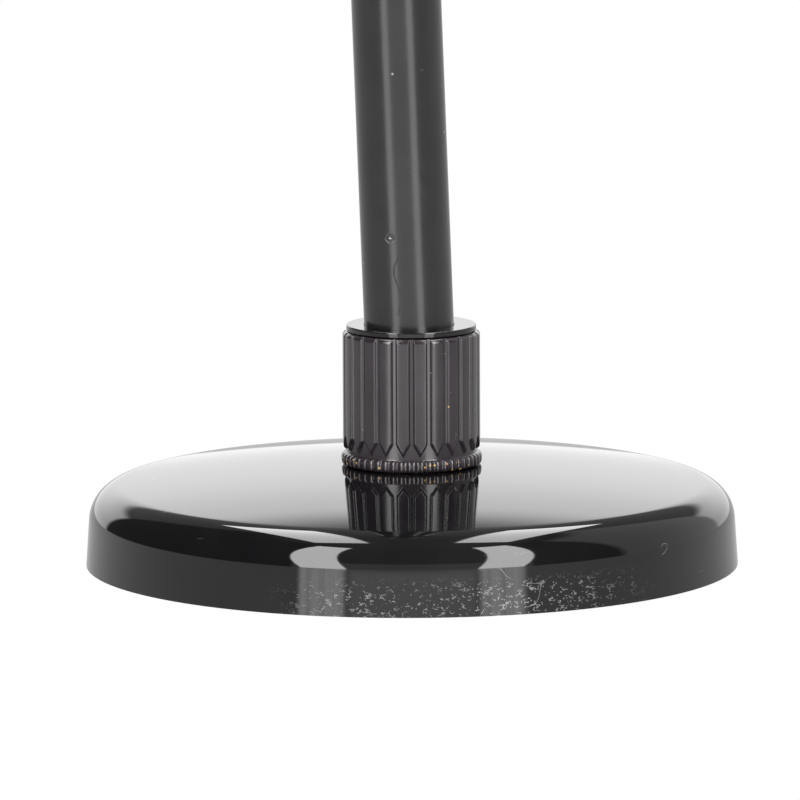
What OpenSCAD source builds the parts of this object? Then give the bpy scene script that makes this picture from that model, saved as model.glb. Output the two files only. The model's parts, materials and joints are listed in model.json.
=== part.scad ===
// Table-top music stand: a domed cast base with a raked, height-adjustable post and a tilting desk.
// Millimetres, +Z up, origin on the ground in the middle of the rubber pad, the player on the +X side.

/* [Base] */
// Diameter of the base casting across its bottom rim
base_d = 160; // [130:1:200]
// Height of the base casting at the middle of its crown, above its rim
base_h = 24.8; // [20.6:0.2:32]
// Radius of the domed crown
crown_r = 513; // [420:1:900]
// Slope of the side wall, in degrees off the vertical
wall_draft = 3.8; // [1:0.1:8]
// Radius that blends the side wall into the crown
shoulder_r = 9; // [6:0.5:11]
// How far the rubber pad stands proud of the rim
pad_proud = 0.8; // [0.5:0.1:1.5]
// Depth of the recess that holds the pad
pad_recess = 2; // [1.5:0.1:3]

/* [Post socket and collar] */
// Rake of the post away from the player, in degrees
rake = 2.02; // [0:0.01:3]
// Height above the rim at which the raked post crosses the middle of the collar
rake_cross = 43.5; // [35:0.5:50]
// Wall of the post socket around the lower tube
socket_wall = 2.95; // [2.4:0.05:5]
// Thickness of the socket's floor under the post
socket_floor = 5.7; // [5:0.1:8]
// Height of the fluted collar
collar_h = 33; // [26:0.5:42]
// Height of the split collet inside the top of the collar
collet_h = 8.6; // [8:0.1:11]
// Wall of the fluted collar around the socket
collar_wall = 2.8; // [2.3:0.1:4]
// How far the foot of the collar flares out
collar_flare = 0.4; // [0:0.1:1]
// Number of flutes around the collar
collar_flutes = 24; // [16:1:30]
// Radius of each flute
flute_r = 0.55; // [0.4:0.05:0.8]

/* [Post] */
// Outer diameter of the lower tube
lower_d = 22; // [18:0.5:26.5]
// Wall of the lower tube
lower_wall = 1.5; // [1.2:0.1:2]
// Wall of the guide bush between the two tubes
guide_wall = 1.5; // [1.2:0.1:2.5]
// Length of the lower tube
lower_len = 157; // [130:1:190]
// Wall of the upper tube
upper_wall = 1.2; // [1:0.1:2]
// Length of the upper tube
upper_len = 184; // [153:1:222]
// Room under the guide bush for the upper tube to come down
drop_room = 31; // [25:1:38]

/* [Head and desk] */
// Lean of the desk back from the line of the post at rest, in degrees
desk_lean = 22; // [10:1:40]
// Distance from the tilt bolt to the back of the desk plate
desk_offset = 21; // [19:0.5:26]
// Width of the desk plate
desk_w = 340; // [280:1:420]
// Height of the desk plate
desk_h = 230; // [190:1:280]
// Height of the tilt bolt above the bottom edge of the desk plate
desk_below = 95; // [78:1:115]
// Thickness of the desk's sheet metal
sheet_t = 1.2; // [0.8:0.1:2]
// Depth of the shelf in front of the desk plate
shelf_depth = 42.6; // [35:0.2:60]
// Height of the lip at the front of the shelf
lip_h = 15; // [12.5:0.5:20]
// Diameter of the tilt bolt
bolt_d = 8; // [6:0.5:10]
// Distance of each page arm from the middle of the desk
arm_y = 95; // [80:1:115]
// Length of each page arm from its pivot to its tip
arm_len = 72; // [58:1:86]

/* [Fits] */
// Radial clearance of parts that turn or slide in each other
run_fit = 0.05; // [0.02:0.01:0.09]
// Radial clearance of parts that are pushed or bonded together
tight_fit = 0.02; // [0.01:0.005:0.03]
// Gap between faces that pass each other
face_gap = 0.15; // [0.1:0.05:0.3]

/* [Hidden] */
$fn = 64;
eps = 1;                                  // overrun of a cut past the face that it goes through
base_r = base_d / 2;
rim_z = pad_proud;                        // rim of the casting
crown_z = rim_z + base_h;                 // middle of the crown
lower_r = lower_d / 2;
socket_r = lower_r + run_fit + socket_wall;
collar_r = socket_r + run_fit + collar_wall;
foot_r = collar_r + collar_flare;
seat_z = crown_z - crown_sag(foot_r);     // flat seat that the socket and the collar stand on
seat_r = foot_r + 0.1;
cross_z = rim_z + rake_cross;             // where the raked axis crosses the collar's axis

pad_r = base_r - 5;
pad_gap = 0.2;
pad_top = pad_proud + pad_recess;

floor_z = seat_z + socket_floor;          // floor that the post turns on
spigot_r = 8;
spigot_h = 4;
dowel_r = 1.5;
dowel_at = (spigot_r + socket_r) / 2;
dowel_len = 6;

base_bolt_r = 4;
base_bolt_head_r = 6.5;
base_bolt_head_h = 5;
base_bolt_key = 3;                        // depth of the key's hole in its head
base_washer_r = 8;
base_washer_t = 1.6;
base_spring_t = 2;
pocket_r = base_washer_r + 2;
base_web = 5.3;                           // iron left between the pocket and the spigot's bore
pocket_z = seat_z - spigot_h - base_web;  // ceiling of the pocket that the bolt head sits in
base_bolt_tip = floor_z - 1.2;

collar_z = seat_z + face_gap;
collar_top = collar_z + collar_h;
socket_z = collar_top + face_gap - collet_h;  // top of the socket, where the collet stands
shoulder = 1.2;                           // rounding of the collar's top and foot
collar_mouth_r = socket_r - 0.8;
cone_z = collar_top - 4.5;                // where the collar's bore starts to close in
collet_gap = 0.3;
ring_r = collar_r - 0.95;
ring_h = 1.4;

lower_bore = lower_r - lower_wall;
post_z = floor_z + face_gap;              // foot of the post
plug_flange = 1.8;
plug_h = 12;
lower_z = post_z + plug_flange;
lower_top = lower_z + lower_len;

clutch_wall = 1.6;
clutch_r = lower_r + clutch_wall;
skirt_r = clutch_r + 1.4;
skirt_h = 14;
grip_z = lower_top - 10;                  // lower end of the clutch grip
clutch_z = grip_z - face_gap - skirt_h;
clutch_top = lower_top + 8;
upper_r = lower_bore - guide_wall;
jaw_r = upper_r + 2.3;
jaw_z = lower_top + 0.3;
jaw_top = clutch_top + 4.7;
grip_r = skirt_r + 2;
grip_top = jaw_top + 0.3 + 3;
grip_flutes = 20;
jaw_slots = 4;
slot_w = 1.2;

guide_h = 22;
guide_cap = 2;
upper_z = lower_z + plug_h + drop_room + guide_cap;
upper_top = upper_z + upper_len;
pin_r = 1;

head_r = upper_r + 3;
head_z = upper_top - 16;
head_cap = 2;
tongue_t = 10;
tongue_w = 20;
tilt_z = upper_top + 20;                  // tilt bolt's axis
grub_r = 2;
grub_z = head_z + 8;

bolt_r = bolt_d / 2;
fibre_t = 1;
ear_t = 2;
ear_in = tongue_t / 2 + fibre_t + 0.05;   // inner face of each ear
ear_out = ear_in + ear_t;
ear_r = 11;
web_t = 2;
web_w = 60;
web_h = 56;
web_hole_y = 22;
web_hole_w = 20;
rivet_r = 2;
rivet_tail = 1.2;
sunk_head = 1.7;                          // head of a countersunk rivet, as a multiple of its shank
sink_share = 0.7;                         // part of the front sheet that the countersink takes
knob_z = ear_out + 1.6;                   // inner face of the knob
knob_washer_t = 1.4;
knob_r = 11;
knob_lobes = 6;
knob_h = 15;
insert_r = bolt_r + 2;
bolt_head_r = bolt_r + 5;

plate_r = 20;                             // corner radius of the desk plate
rim_depth = 6;                            // folded rim around the desk plate
face_u = desk_offset + sheet_t;           // front face of the desk plate
slot_len = 34;
slot_d = 8;
slot_cols = 13;
slot_rows = 3;
slot_pitch_y = (desk_w - 52) / (slot_cols - 1);
slot_pitch_w = (desk_h - 92) / (slot_rows - 1);
slot_low = -desk_below + 54;              // middle of the lowest row of slots

shelf_w = desk_w - 20;
flange_h = 16;
shelf_front = face_u + shelf_depth;
lip_w = -desk_below + lip_h;              // top edge of the lip
trim_t = 1;
trim_gap = 2.5;
shelf_rivet_r = 1.5;
shelf_rivet_w = -desk_below + flange_h / 2;
shelf_rivet_y = [-2 * desk_w / 5, -desk_w / 5, 0, desk_w / 5, 2 * desk_w / 5];

arm_t = 1.5;
arm_w = 8;
pivot_w = lip_w - 5;                      // height of the page arms' pivots
pivot_r = 1.6;
wave_t = 0.4;
arm_u = shelf_front + wave_t + 0.1;       // inner face of each page arm at its pivot
arm_rise = 18;                            // straight part of the arm above its pivot
arm_reach = 24;                           // how far the arm comes back towards the desk
tip_r = 5.5;
tip_t = 3;

// ---- shared shapes ----

// Drop of the crown at a distance from its middle
function crown_sag(r) = crown_r - sqrt(crown_r * crown_r - r * r);

// Points of an arc about a centre, from one angle to another
function arc(centre, r, from, to, steps) =
    [for (i = [0:steps]) let (a = from + (to - from) * i / steps) centre + r * [cos(a), sin(a)]];

// Corner points of a rounded rectangle about a centre
function round_rect(centre, w, h, r) = concat(
    arc(centre + [w / 2 - r, h / 2 - r], r, 0, 90, 6), arc(centre + [r - w / 2, h / 2 - r], r, 90, 180, 6),
    arc(centre + [r - w / 2, r - h / 2], r, 180, 270, 6), arc(centre + [w / 2 - r, r - h / 2], r, 270, 360, 6));

// Straight tube on the Z axis between two heights
module pipe(r_out, r_in, z_low, z_high) {
    difference() {
        translate([0, 0, z_low]) cylinder(r = r_out, h = z_high - z_low);
        translate([0, 0, z_low - eps]) cylinder(r = r_in, h = z_high - z_low + 2 * eps);
    }
}

// Solid bar on the Z axis between two heights
module bar(r, z_low, z_high) {
    translate([0, 0, z_low]) cylinder(r = r, h = z_high - z_low);
}

// Leans what stands on the Z axis over to the post's rake
module raked() {
    translate([0, 0, cross_z]) rotate([0, -rake, 0]) translate([0, 0, -cross_z]) children();
}

// Turns a piece from the desk's own frame (X to the player, Z up the desk) to its place at rest
module on_desk() {
    raked() translate([0, 0, tilt_z]) rotate([0, -desk_lean, 0]) children();
}

// Solid bar along Y between two places
module cross_bar(r, y_low, y_high) {
    translate([0, y_high, 0]) rotate([90, 0, 0]) cylinder(r = r, h = y_high - y_low);
}

// Solid bar along X between two places
module front_bar(r, x_low, x_high) {
    translate([x_low, 0, 0]) rotate([0, 90, 0]) cylinder(r = r, h = x_high - x_low);
}

// Rivet along X: a countersunk head flush with the front face, a shank and a domed tail behind
module rivet(r, back, front, tail) {
    grip = front - back;
    translate([back, 0, 0]) rotate([0, 90, 0]) rotate_extrude() polygon([
        [0, -tail], [1.3 * r, -tail], [1.6 * r, -0.3 * tail], [1.6 * r, 0], [r, 0], [r, grip - sink_share * sheet_t],
        [sunk_head * r, grip], [0, grip]]);
}

// Cut for the countersunk head of a rivet in the front sheet
module rivet_hole(r) {
    front_bar(r + tight_fit, desk_offset - eps, face_u);
    translate([face_u - sink_share * sheet_t, 0, 0]) rotate([0, 90, 0])
        cylinder(r1 = r + tight_fit, r2 = sunk_head * r + tight_fit, h = sink_share * sheet_t);
}

// ---- base ----

// Half outline of the casting: rim, drafted wall, rounded shoulder, domed crown and flat seat
function base_outline() =
    let (
        t = tan(wall_draft),
        k = base_r - shoulder_r / cos(wall_draft),
        m = base_h - crown_r,
        s = k * t + m,
        q = 1 + t * t,
        rise = (s + sqrt(s * s - q * (k * k + m * m - pow(crown_r - shoulder_r, 2)))) / q,
        centre = [k - rise * t, rise],
        edge = atan2(centre[1] - m, centre[0])
    )
    concat(
        [[0, rim_z], [base_r, rim_z]],
        arc(centre + [0, rim_z], shoulder_r, wall_draft, edge, 8),
        [for (i = [1:8]) let (a = edge + (90 - seat_angle() - edge) * i / 8)
            [0, rim_z + m] + crown_r * [cos(a), sin(a)]],
        [[0, seat_z]]);

// Angle off the vertical at which the crown meets the flat seat
function seat_angle() = asin(seat_r / crown_r);

module base_casting() {
    color([0.03, 0.03, 0.032]) difference() {
        rotate_extrude($fn = 128) polygon(base_outline());
        bar(pad_r + pad_gap, rim_z - eps, pad_top);
        bar(pocket_r, pad_top - eps, pocket_z);
        bar(base_bolt_r + 0.3, pocket_z - eps, seat_z);
        bar(spigot_r + tight_fit, seat_z - spigot_h - face_gap, seat_z + eps);
        translate([dowel_at, 0, seat_z - dowel_len / 2 - 0.1]) cylinder(r = dowel_r + tight_fit, h = dowel_len);
    }
}

module base_pad() {
    color([0.08, 0.08, 0.08]) bar(pad_r, 0, pad_top);
}

module base_bolt() {
    head_z = pocket_z - base_washer_t - base_spring_t;
    color([0.55, 0.55, 0.57]) difference() {
        union() {
            bar(base_bolt_head_r, head_z - base_bolt_head_h, head_z);
            bar(base_bolt_r, head_z - eps, base_bolt_tip);
        }
        translate([0, 0, head_z - base_bolt_head_h - eps]) cylinder(r = 3.46, h = base_bolt_key + eps, $fn = 6);
    }
}

module base_washer() {
    color([0.6, 0.6, 0.62]) pipe(base_washer_r, base_bolt_r + 0.3, pocket_z - base_washer_t, pocket_z);
}

module base_spring_washer() {
    high = pocket_z - base_washer_t;
    color([0.5, 0.5, 0.52]) difference() {
        pipe(base_bolt_head_r, base_bolt_r + 0.2, high - base_spring_t, high);
        translate([0, -1, high - base_spring_t - eps]) cube([base_washer_r, 2, base_spring_t + 2 * eps]);
    }
}

module post_socket() {
    color([0.6, 0.6, 0.62]) difference() {
        union() {
            bar(socket_r, seat_z, socket_z);
            bar(spigot_r, seat_z - spigot_h, seat_z + eps);
        }
        raked() bar(lower_r + run_fit, floor_z, socket_z + 3);
        bar(base_bolt_r + tight_fit, seat_z - spigot_h - eps, floor_z + eps);
        translate([dowel_at, 0, seat_z - eps]) cylinder(r = dowel_r + tight_fit, h = dowel_len / 2 + 0.1 + eps);
    }
}

module socket_dowel() {
    color([0.7, 0.7, 0.72]) translate([dowel_at, 0, seat_z - dowel_len / 2]) cylinder(r = dowel_r, h = dowel_len);
}

// ---- collar ----

// Split nylon collet that the collar squeezes onto the post
module clamp_collet() {
    color([0.1, 0.1, 0.1]) difference() {
        union() {
            bar(socket_r + run_fit - collet_gap, socket_z, cone_z);
            translate([0, 0, cone_z]) cylinder(r1 = socket_r + run_fit - collet_gap, r2 = collar_mouth_r - collet_gap,
                h = collar_top + face_gap - cone_z);
        }
        raked() bar(lower_r + run_fit, socket_z - 3, collar_top + 3);
        for (a = [45:90:135]) rotate([0, 0, a])
            translate([-socket_r - eps, -slot_w / 2, socket_z + 2.5]) cube([2 * (socket_r + eps), slot_w, collet_h]);
    }
}

// Gloss ring that closes the gap between the collar and the tube
module wiper_ring() {
    low = collar_top + face_gap;
    color([0.02, 0.02, 0.02]) difference() {
        union() {
            bar(ring_r, low, low + ring_h - 0.4);
            translate([0, 0, low + ring_h - 0.4]) cylinder(r1 = ring_r, r2 = ring_r - 0.4, h = 0.4);
        }
        raked() bar(lower_r + run_fit, low - 3, low + ring_h + 3);
    }
}

// Half outline of the collar: flared foot, straight side, rounded top, closing bore
function collar_outline() = concat(
    [[socket_r + run_fit, collar_z], [foot_r - 0.4, collar_z], [foot_r, collar_z + 0.4], [foot_r, collar_z + 2],
        [collar_r, collar_z + 5]],
    arc([collar_r - shoulder, collar_top - shoulder], shoulder, 0, 90, 5),
    [[collar_mouth_r, collar_top], [socket_r + run_fit, cone_z]]);

module fluted_collar() {
    color([0.16, 0.14, 0.16]) difference() {
        rotate_extrude($fn = 128) polygon(collar_outline());
        for (i = [0:collar_flutes - 1]) rotate([0, 0, (i + 0.5) * 360 / collar_flutes])
            translate([collar_r + 0.1, 0, collar_z + 1.5]) cylinder(r = flute_r, h = collar_h, $fn = 16);
    }
}

// ---- post ----

module lower_tube() {
    color([0.2, 0.2, 0.2]) raked() pipe(lower_r, lower_bore, lower_z, lower_top);
}

module tube_foot_plug() {
    color([0.85, 0.85, 0.8]) raked() union() {
        bar(lower_r - 0.1, post_z, lower_z);
        bar(lower_bore - tight_fit, lower_z - eps, lower_z + plug_h);
    }
}

// Threaded housing on the lower tube's top end
module clutch_housing() {
    color([0.08, 0.08, 0.08]) raked() difference() {
        union() {
            pipe(skirt_r, lower_r + tight_fit, clutch_z, grip_z - face_gap);
            pipe(clutch_r, lower_r + tight_fit, clutch_z + eps, lower_top);
            pipe(clutch_r, jaw_r + 0.3, lower_top, clutch_top);
        }
        translate([0, 0, clutch_z - eps]) difference() {
            cylinder(r = skirt_r + eps, h = 1 + eps);
            cylinder(r1 = skirt_r - 1 - eps, r2 = skirt_r, h = 1 + eps);
        }
    }
}

// Split nylon jaws that the grip squeezes onto the upper tube
module clutch_collet() {
    color([0.12, 0.12, 0.12]) raked() difference() {
        pipe(jaw_r, upper_r + run_fit, jaw_z, jaw_top);
        for (i = [0:jaw_slots / 2 - 1]) rotate([0, 0, 45 + i * 360 / jaw_slots])
            translate([-jaw_r - eps, -slot_w / 2, jaw_z + 2.5]) cube([2 * (jaw_r + eps), slot_w, jaw_top]);
    }
}

// Fluted twist nut over the housing and the jaws
module clutch_grip() {
    color([0.07, 0.07, 0.07]) raked() difference() {
        rotate_extrude($fn = 96) polygon(concat(
            [[clutch_r + run_fit, grip_z], [grip_r - 0.8, grip_z], [grip_r, grip_z + 0.8]],
            arc([grip_r - 2, grip_top - 2], 2, 0, 90, 5),
            [[upper_r + 0.4, grip_top], [upper_r + 0.4, grip_top - 3], [jaw_r + 0.3, grip_top - 3],
                [jaw_r + 0.3, clutch_top + 0.3], [clutch_r + run_fit, clutch_top + 0.3]]));
        for (i = [0:grip_flutes - 1]) rotate([0, 0, i * 360 / grip_flutes])
            translate([grip_r + 0.5, 0, grip_z + 3]) cylinder(r = 1.1, h = grip_top - grip_z - 6, $fn = 20);
    }
}

// ---- mast ----

module upper_tube() {
    color([0.75, 0.75, 0.77]) raked() difference() {
        pipe(upper_r, upper_r - upper_wall, upper_z, upper_top);
        translate([0, 0, upper_z + guide_h / 2]) cross_bar(pin_r + tight_fit, -lower_r, lower_r);
    }
}

// Nylon bush that keeps the upper tube's lower end central in the lower tube
module guide_bush() {
    color([0.85, 0.85, 0.8]) raked() difference() {
        bar(lower_bore - run_fit, upper_z - guide_cap, upper_z + guide_h);
        bar(upper_r + tight_fit, upper_z, upper_z + guide_h + eps);
        translate([0, 0, upper_z + guide_h / 2]) cross_bar(pin_r + tight_fit, -lower_r, lower_r);
    }
}

module guide_pin() {
    color([0.6, 0.6, 0.62]) raked() translate([0, 0, upper_z + guide_h / 2])
        cross_bar(pin_r, -lower_bore + 0.4, lower_bore - 0.4);
}

// Die-cast head: a sleeve over the upper tube and a flat tongue for the tilt bolt
module head_block() {
    color([0.09, 0.09, 0.09]) raked() difference() {
        union() {
            bar(head_r, head_z, upper_top + head_cap);
            translate([-tongue_w / 2, -tongue_t / 2, upper_top]) cube([tongue_w, tongue_t, tilt_z - upper_top]);
            translate([0, 0, tilt_z]) cross_bar(tongue_w / 2, -tongue_t / 2, tongue_t / 2);
        }
        bar(upper_r + tight_fit, head_z - eps, upper_top + tight_fit);
        translate([0, 0, tilt_z]) cross_bar(bolt_r + run_fit, -tongue_t, tongue_t);
        translate([0, 0, grub_z]) front_bar(grub_r + tight_fit, -head_r - eps, head_r + eps);
    }
}

// Two grub screws that hold the head on the upper tube
module head_grub_screws() {
    color([0.4, 0.4, 0.42]) raked() translate([0, 0, grub_z]) for (side = [0, 180]) rotate([0, 0, side])
        difference() {
            front_bar(grub_r, upper_r + tight_fit, head_r - 0.1);
            translate([head_r - 1.2, 0, 0]) rotate([0, 90, 0]) cylinder(r = 1.1, h = 3, $fn = 6);
        }
}

// ---- tilt joint ----

module friction_washers() {
    color([0.35, 0.2, 0.12]) on_desk() for (side = [-1, 1])
        translate([0, side * (ear_in - fibre_t / 2), 0]) rotate([90, 0, 0]) translate([0, 0, -fibre_t / 2 + 0.01])
            pipe(tongue_w / 2 - 0.5, bolt_r + run_fit, 0, fibre_t - 0.02);
}

// Pressed steel bracket: two ears on a web that is riveted to the desk
module tilt_bracket() {
    ear_h = 2 * ear_r;
    color([0.08, 0.08, 0.08]) on_desk() difference() {
        union() {
            translate([desk_offset - web_t, 0, 0]) rotate([0, 90, 0])
                linear_extrude(height = web_t) polygon(round_rect([0, 0], web_h, web_w, 6));
            for (side = [-1, 1]) {
                translate([0, side * (ear_in + ear_t / 2) - ear_t / 2, -ear_r]) cube([desk_offset - eps, ear_t, ear_h]);
                translate([0, side * (ear_in + ear_t / 2), 0]) cross_bar(ear_r, -ear_t / 2, ear_t / 2);
            }
        }
        cross_bar(bolt_r + run_fit, 0, ear_out + eps);
        translate([-bolt_r - run_fit, -ear_out - eps, -bolt_r - run_fit])
            cube([2 * (bolt_r + run_fit), ear_t + 2 * eps - 0.1, 2 * (bolt_r + run_fit)]);
        for (y = [-1, 1], w = [-1, 1]) translate([0, y * web_hole_y, w * web_hole_w])
            front_bar(rivet_r + tight_fit, desk_offset - web_t - eps, desk_offset + eps);
    }
}

// Carriage bolt: domed head, square neck in the left ear, plain shank
module tilt_bolt() {
    tip = knob_z + knob_h - 3;
    bolt_dome = 4.5;
    dome_r = (bolt_head_r * bolt_head_r + bolt_dome * bolt_dome) / (2 * bolt_dome);
    dome_from = asin((dome_r - bolt_dome) / dome_r);
    color([0.6, 0.6, 0.62]) on_desk() union() {
        translate([0, -ear_out, 0]) rotate([90, 0, 0]) rotate_extrude()
            polygon(concat([[0, 0]], arc([0, bolt_dome - dome_r], dome_r, dome_from, 90, 5)));
        translate([-bolt_r, -ear_out - 0.2, -bolt_r]) cube([bolt_d, ear_t + 0.1, bolt_d]);
        cross_bar(bolt_r, -ear_out, tip);
    }
}

module knob_washer() {
    color([0.65, 0.65, 0.67]) on_desk() translate([0, ear_out + knob_washer_t + 0.05, 0]) rotate([90, 0, 0])
        pipe(bolt_head_r - 0.5, bolt_r + run_fit, 0, knob_washer_t);
}

// Lobed knob with a round pocket for its brass insert
module tilt_knob() {
    color([0.05, 0.05, 0.05]) on_desk() translate([0, knob_z, 0]) rotate([-90, 0, 0]) difference() {
        union() {
            cylinder(r = knob_r, h = knob_h);
            translate([0, 0, knob_h]) cylinder(r1 = knob_r - 1, r2 = knob_r - 5, h = 2);
            for (i = [0:knob_lobes - 1]) rotate([0, 0, i * 360 / knob_lobes])
                translate([knob_r - 1, 0, 0]) cylinder(r = 3.4, h = knob_h - 2);
        }
        translate([0, 0, -eps]) cylinder(r = insert_r + tight_fit, h = 10 + eps);
        translate([0, 0, -eps]) cylinder(r = bolt_r + 0.4, h = knob_h - 1.5 + eps);
    }
}

module knob_insert() {
    color([0.75, 0.6, 0.25]) on_desk() translate([0, knob_z, 0]) rotate([-90, 0, 0])
        pipe(insert_r, bolt_r + run_fit, 0, 10);
}

// ---- desk ----

// Place of each slot in the desk plate that keeps clear of the bracket
function slot_places() = [for (i = [0:slot_cols - 1], j = [0:slot_rows - 1])
    let (y = (i - (slot_cols - 1) / 2) * slot_pitch_y, w = slot_low + j * slot_pitch_w)
    if (abs(y) > web_w / 2 + slot_d || abs(w) > web_h / 2 + slot_len / 2 + 2) [y, w]];

// Sheet-metal desk with a folded rim and rows of upright slots
module desk_plate() {
    middle = (desk_h + face_gap) / 2 - desk_below;
    tall = desk_h - face_gap;             // the lower edge stands just clear of the shelf floor
    color([0.07, 0.07, 0.07]) on_desk() difference() {
        translate([face_u, 0, 0]) rotate([0, -90, 0]) difference() {
            linear_extrude(height = rim_depth + sheet_t) polygon(round_rect([middle, 0], tall, desk_w, plate_r));
            translate([0, 0, sheet_t]) linear_extrude(height = rim_depth + eps)
                polygon(round_rect([middle, 0], tall - 2 * sheet_t, desk_w - 2 * sheet_t, plate_r - sheet_t));
        }
        translate([desk_offset - rim_depth - eps, -desk_w / 2 - eps, -desk_below - eps])
            cube([rim_depth + eps, desk_w + 2 * eps, plate_r + eps]);
        for (place = slot_places()) translate([desk_offset - eps, place[0], place[1]]) {
            for (side = [-1, 1]) translate([0, 0, side * (slot_len - slot_d) / 2])
                front_bar(slot_d / 2, 0, sheet_t + 2 * eps);
            translate([0, -slot_d / 2 + 0.001, -(slot_len - slot_d) / 2])
                cube([sheet_t + 2 * eps, slot_d - 0.002, slot_len - slot_d]);
        }
        for (y = [-1, 1], w = [-1, 1]) translate([0, y * web_hole_y, w * web_hole_w]) rivet_hole(rivet_r);
        for (y = shelf_rivet_y) translate([0, y, shelf_rivet_w]) rivet_hole(shelf_rivet_r);
    }
}

module bracket_rivets() {
    color([0.3, 0.3, 0.3]) on_desk() for (y = [-1, 1], w = [-1, 1])
        translate([0, y * web_hole_y, w * web_hole_w]) rivet(rivet_r, desk_offset - web_t, face_u, rivet_tail);
}

// Folded shelf: a flange behind the desk plate, a floor and an upturned lip
module page_shelf() {
    back = desk_offset - sheet_t;
    low = -desk_below - sheet_t;
    bend = 2.5;
    color([0.07, 0.07, 0.07]) on_desk() difference() {
        translate([0, shelf_w / 2, 0]) rotate([90, 0, 0]) linear_extrude(height = shelf_w) polygon(concat(
            [[back, flange_h - desk_below], [back, low + bend]],
            arc([back + bend, low + bend], bend, 180, 270, 4),
            arc([shelf_front - bend, low + bend], bend, 270, 360, 4),
            [[shelf_front, lip_w], [shelf_front - sheet_t, lip_w]],
            arc([shelf_front - bend, low + bend], bend - sheet_t, 360, 270, 4),
            [[desk_offset, -desk_below], [desk_offset, flange_h - desk_below]]));
        for (y = shelf_rivet_y) translate([0, y, shelf_rivet_w])
            front_bar(shelf_rivet_r + tight_fit, back - eps, desk_offset + eps);
        for (side = [-1, 1]) translate([0, side * arm_y, pivot_w])
            front_bar(pivot_r + tight_fit, shelf_front - sheet_t - eps, shelf_front + eps);
    }
}

module shelf_rivets() {
    color([0.3, 0.3, 0.3]) on_desk() for (y = shelf_rivet_y)
        translate([0, y, shelf_rivet_w]) rivet(shelf_rivet_r, desk_offset - sheet_t, face_u, 1);
}

// Rubber strip that stops books sliding on the shelf
module shelf_trim() {
    color([0.04, 0.04, 0.04]) on_desk()
        translate([face_u + trim_gap, -shelf_w / 2 + 5, -desk_below])
            cube([shelf_depth - sheet_t - 2 * trim_gap - 2, shelf_w - 10, trim_t]);
}

// ---- page arms ----

// Shouldered rivet that each page arm turns on
module arm_pivots() {
    tail = 1;
    color([0.7, 0.7, 0.72]) on_desk() for (side = [-1, 1]) translate([shelf_front - sheet_t, side * arm_y, pivot_w])
        rotate([0, 90, 0]) rotate_extrude() polygon([[0, -tail], [2.6, -tail], [2.6, 0], [pivot_r, 0],
            [pivot_r, sheet_t + wave_t + arm_t + 0.3], [3.2, sheet_t + wave_t + arm_t + 0.3],
            [3.2, sheet_t + wave_t + arm_t + 0.8], [2.2, sheet_t + wave_t + arm_t + 1.4],
            [0, sheet_t + wave_t + arm_t + 1.4]]);
}

module arm_washer(side) {
    color([0.7, 0.7, 0.72]) on_desk() translate([shelf_front + 0.05, side * arm_y, pivot_w]) rotate([0, 90, 0])
        pipe(3.4, pivot_r + run_fit, 0, wave_t);
}

// Pressed strip that rises from its pivot and comes back towards the pages
module page_arm(side) {
    slope = arm_len - arm_rise - 2 * tip_r - 6;
    color([0.7, 0.7, 0.72]) on_desk() translate([arm_u, side * arm_y, pivot_w]) difference() {
        union() {
            front_bar(arm_w / 2, 0, arm_t);
            translate([0, arm_w / 2, 0]) rotate([90, 0, 0]) linear_extrude(height = arm_w) polygon([
                [0, 0], [arm_t, 0], [arm_t, arm_rise], [arm_t - arm_reach, arm_rise + slope],
                [arm_t - arm_reach, arm_len - tip_r], [-arm_reach, arm_len - tip_r], [-arm_reach, arm_rise + slope - 0.5],
                [0, arm_rise - 0.5]]);
            translate([-arm_reach, 0, arm_len - tip_r]) front_bar(arm_w / 2, 0, arm_t);
        }
        front_bar(pivot_r + run_fit, -eps, arm_t + eps);
    }
}

module arm_tip(side) {
    color([0.05, 0.05, 0.05]) on_desk()
        translate([arm_u - arm_reach - tip_t, side * arm_y, pivot_w + arm_len - tip_r]) front_bar(tip_r, 0, tip_t);
}

module left_arm_washer() { arm_washer(-1); }
module left_page_arm() { page_arm(-1); }
module left_arm_tip() { arm_tip(-1); }
module right_arm_washer() { arm_washer(1); }
module right_page_arm() { page_arm(1); }
module right_arm_tip() { arm_tip(1); }

base_casting();
base_pad();
base_bolt();
base_washer();
base_spring_washer();
post_socket();
socket_dowel();
clamp_collet();
wiper_ring();
fluted_collar();
lower_tube();
tube_foot_plug();
clutch_housing();
clutch_collet();
clutch_grip();
upper_tube();
guide_bush();
guide_pin();
head_block();
head_grub_screws();
friction_washers();
tilt_bracket();
tilt_bolt();
knob_washer();
tilt_knob();
knob_insert();
desk_plate();
bracket_rivets();
page_shelf();
shelf_rivets();
shelf_trim();
arm_pivots();
left_arm_washer();
left_page_arm();
left_arm_tip();
right_arm_washer();
right_page_arm();
right_arm_tip();
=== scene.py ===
"""Looks of a table-top music stand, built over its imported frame."""

from __future__ import annotations

import json
import logging
import math
from dataclasses import dataclass
from enum import Enum
from typing import Mapping, Sequence

import bpy
import numpy as np
from mathutils import Matrix, Vector

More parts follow.
